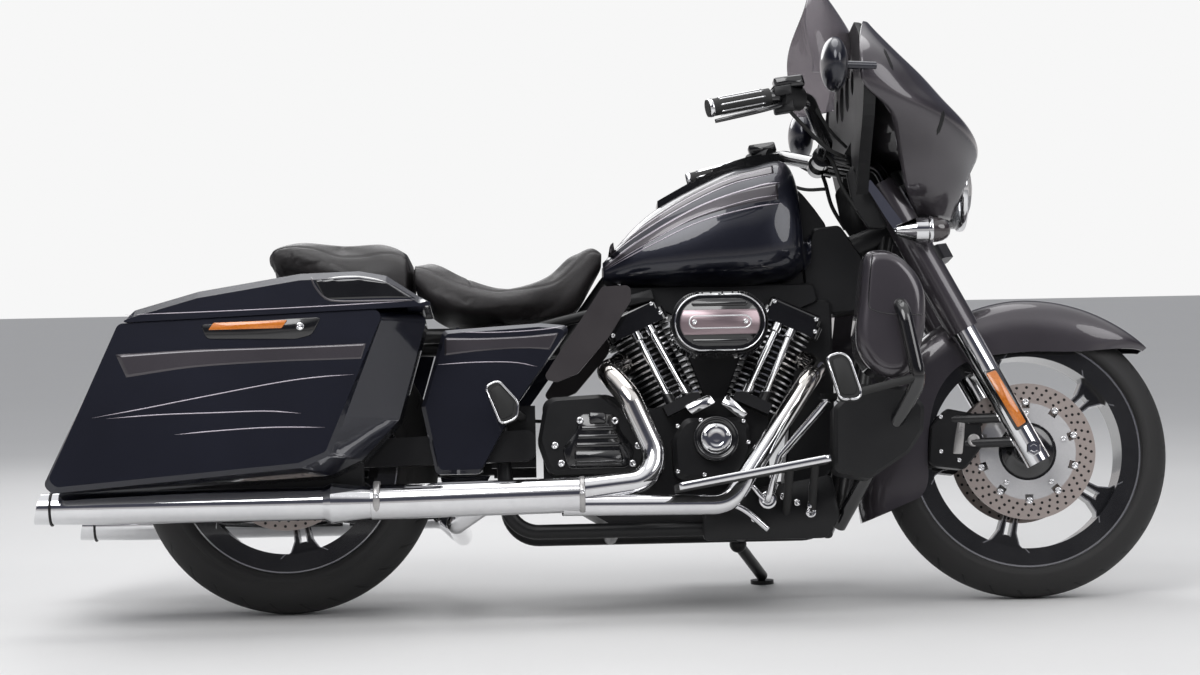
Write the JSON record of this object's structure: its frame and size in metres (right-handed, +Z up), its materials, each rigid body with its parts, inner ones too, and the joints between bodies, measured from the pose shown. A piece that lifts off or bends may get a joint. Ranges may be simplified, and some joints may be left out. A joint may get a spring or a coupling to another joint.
{
  "type": "touring cruiser motorcycle",
  "caption": "Touring cruiser motorcycle with fork-mounted fairing, short screen, V-twin engine, stepped seat and hard saddlebags, leaned on its side stand.",
  "frame": {"origin": "centre of the footprint box, on the floor that the tyres and the stand rest on", "axes": "+X forwards, +Y to the rider's left, +Z up; the bike leans 9 degrees to its left on the side stand"},
  "size_m": [2.4532, 1.0326, 1.3793],
  "materials": {
    "tyre_rubber": "matt black tread rubber",
    "wheel_black": "gloss black with machined silver edges",
    "disc_steel": "ground steel",
    "axle_steel": "bright steel",
    "chrome": "polished chrome",
    "body_paint": "gloss dark blue-black metallic",
    "accent_paint": "gloss charcoal metallic",
    "black_metal": "satin black",
    "fin_metal": "black with bright fin edges",
    "black_plastic": "matt black",
    "black_rubber": "matt black",
    "seat_leather": "stitched black leather",
    "smoked_screen": "smoked clear screen",
    "lamp_glass": "clear lens",
    "red_lens": "gloss red lens"
  },
  "bodies": {
    "chassis": {"frame": "black_metal", "swingarm": "black_metal", "drive_belt": "black_rubber", "rear_axle": "axle_steel", "cylinders": "fin_metal", "rocker_covers": "black_metal", "crankcase": "black_metal", "engine_covers": "black_metal", "pushrods": "chrome", "air_cleaner": "black_metal", "mufflers": "chrome", "exhaust_pipes": "chrome", "fuel_tank": "body_paint", "tank_console": "black_metal", "rider_seat": "seat_leather", "pillion_seat": "seat_leather", "rear_fender": "body_paint", "tail_lamps": "red_lens", "plate_bracket": "black_metal", "side_covers": "body_paint", "frame_flaps": "black_plastic", "saddlebag_right": "body_paint", "saddlebag_left": "body_paint", "lower_fairings": "accent_paint", "radiators": "black_plastic", "engine_guard": "black_metal", "foot_pegs": "black_rubber", "floorboards": "black_rubber", "brake_pedal": "chrome"},
    "steering": {"fork_clamps": "black_metal", "fork_sliders": "chrome", "fork_covers": "black_metal", "front_axle": "axle_steel", "front_fender": "body_paint", "front_calipers": "black_metal", "fairing": "body_paint", "inner_fairing": "black_plastic", "headlamp": "lamp_glass", "windshield": "smoked_screen", "turn_signals": "chrome", "mirrors": "black_metal", "handlebar": "black_metal", "grips": "black_rubber", "bar_controls": "black_plastic"},
    "front_wheel": {"front_tyre": "tyre_rubber", "front_rim": "wheel_black", "front_discs": "disc_steel"},
    "rear_wheel": {"rear_tyre": "tyre_rubber", "rear_rim": "wheel_black", "rear_disc_and_pulley": "disc_steel"},
    "side_stand": {"side_stand": "black_metal"},
    "lid_right": {"saddlebag_lid_right": "body_paint"},
    "lid_left": {"saddlebag_lid_left": "body_paint"},
    "fuel_door": {"fuel_door": "body_paint"}
  },
  "joints": [
    {"name": "steering", "type": "hinge", "parent": "chassis", "child": "steering", "pos_m": [0.67074, 0.01017, 0.82585], "axis": [-0.4384, 0.1406, 0.8877], "range_deg": [-30, 30]},
    {"name": "front_wheel_spin", "type": "hinge", "parent": "steering", "child": "front_wheel", "pos_m": [0.908, -0.07059, 0.31591], "axis": [0, 0.9877, -0.1564], "continuous": true},
    {"name": "rear_wheel_spin", "type": "hinge", "parent": "chassis", "child": "rear_wheel", "pos_m": [-0.717, -0.0692, 0.3247], "axis": [0, 0.9877, -0.1564], "continuous": true},
    {"name": "side_stand_fold", "type": "hinge", "parent": "chassis", "child": "side_stand", "pos_m": [0.283, 0.09535, 0.11072], "axis": [0.175, 0.4356, 0.883], "range_deg": [0, 92]},
    {"name": "lid_right_open", "type": "hinge", "parent": "chassis", "child": "lid_right", "pos_m": [-0.716, -0.45034, 0.66706], "axis": [0.9994, 0.0056, 0.0355], "range_deg": [0, 85]},
    {"name": "lid_left_open", "type": "hinge", "parent": "chassis", "child": "lid_left", "pos_m": [-0.716, 0.39907, 0.53253], "axis": [-0.9994, -0.0056, -0.0355], "range_deg": [0, 85]},
    {"name": "fuel_door_open", "type": "hinge", "parent": "chassis", "child": "fuel_door", "pos_m": [0.34492, 0.036, 0.98892], "axis": [0, 0.9877, -0.1564], "range_deg": [0, 80]}
  ]
}
